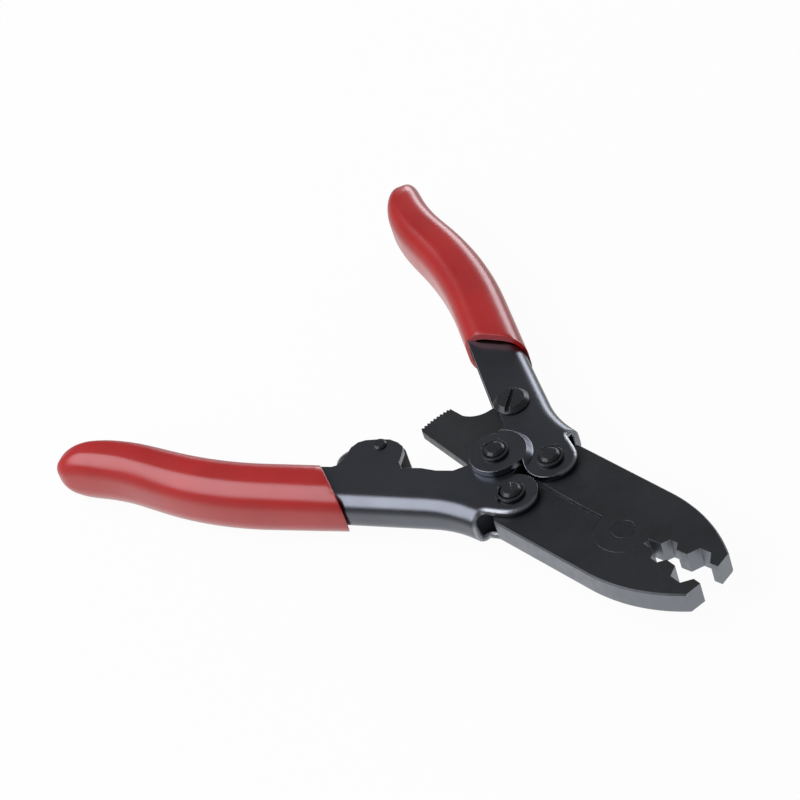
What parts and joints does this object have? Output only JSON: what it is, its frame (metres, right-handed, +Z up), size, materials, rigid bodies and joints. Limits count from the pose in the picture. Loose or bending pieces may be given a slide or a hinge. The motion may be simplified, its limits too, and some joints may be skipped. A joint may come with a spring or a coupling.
{
  "type": "coaxial crimping tool",
  "caption": "Hand-held compound-lever crimping tool, open, with hexagonal die nests in its jaws, a ratchet between the handles and slanted vinyl grips.",
  "frame": {"origin": "on the jaw pivot axis, in the plane of the jaws' lower faces, which is also the lower end of the jaw pivot pin", "axes": "+X from the pivot towards the jaws' nose along the tool's mirror line, +Y towards the handle that carries the toothed sector, +Z up along every pivot axis"},
  "size_m": [0.1976, 0.1464, 0.0194],
  "materials": {
    "red_vinyl": "satin red vinyl with soft broad highlights",
    "jaw_steel": "black-finished steel plate, ground side edges brighter",
    "handle_steel": "black-finished bent sheet steel, satin",
    "ratchet_steel": "dark hardened steel, matt",
    "pin_steel": "dark turned steel, satin",
    "spring_steel": "bright spring wire"
  },
  "bodies": {
    "lower_handle_body": {"lower_handle": "handle_steel", "lower_grip": "red_vinyl", "lower_jaw_pivot_pin": "pin_steel", "lower_jaw_pivot_ring_top": "pin_steel", "lower_jaw_pivot_ring_bottom": "pin_steel", "pawl_rivet": "pin_steel", "spring_post": "pin_steel", "pawl_spring": "spring_steel"},
    "upper_handle_body": {"upper_handle": "handle_steel", "upper_grip": "red_vinyl", "handle_pivot_pin": "pin_steel", "handle_pivot_ring_top": "pin_steel", "handle_pivot_ring_bottom": "pin_steel", "upper_jaw_pivot_pin": "pin_steel", "upper_jaw_pivot_ring_top": "pin_steel", "upper_jaw_pivot_ring_bottom": "pin_steel", "ratchet_sector": "ratchet_steel", "sector_screw": "pin_steel", "sector_nut": "pin_steel"},
    "lower_jaw_body": {"lower_jaw": "jaw_steel", "jaw_pivot_pin": "pin_steel"},
    "upper_jaw_body": {"upper_jaw": "jaw_steel"},
    "pawl_body": {"ratchet_pawl": "ratchet_steel"}
  },
  "joints": [
    {"name": "handle_close", "type": "hinge", "parent": "lower_handle_body", "child": "upper_handle_body", "pos_m": [-0.04807, 0, 0.0035], "axis": [0, 0, 1], "range_deg": [0, 36.2]},
    {"name": "lower_jaw_turn", "type": "hinge", "parent": "lower_handle_body", "child": "lower_jaw_body", "pos_m": [-0.0346, -0.0078, 0.0035], "axis": [0, 0, 1], "range_deg": [0, 24.6]},
    {"name": "upper_jaw_turn", "type": "hinge", "parent": "lower_jaw_body", "child": "upper_jaw_body", "pos_m": [0, 0, 0.0035], "axis": [0, 0, 1], "range_deg": [-12.9, 0]},
    {"name": "pawl_turn", "type": "hinge", "parent": "lower_handle_body", "child": "pawl_body", "pos_m": [-0.082, -0.0145, 0.0035], "axis": [0, 0, 1], "range_deg": [-87, 0]}
  ],
  "couplings": [
    {"joint": "lower_jaw_turn", "follows": "handle_close", "ratio": 0.6763},
    {"joint": "upper_jaw_turn", "follows": "handle_close", "ratio": -0.3526},
    {"joint": "pawl_turn", "follows": "handle_close", "ratio": -2.4}
  ]
}
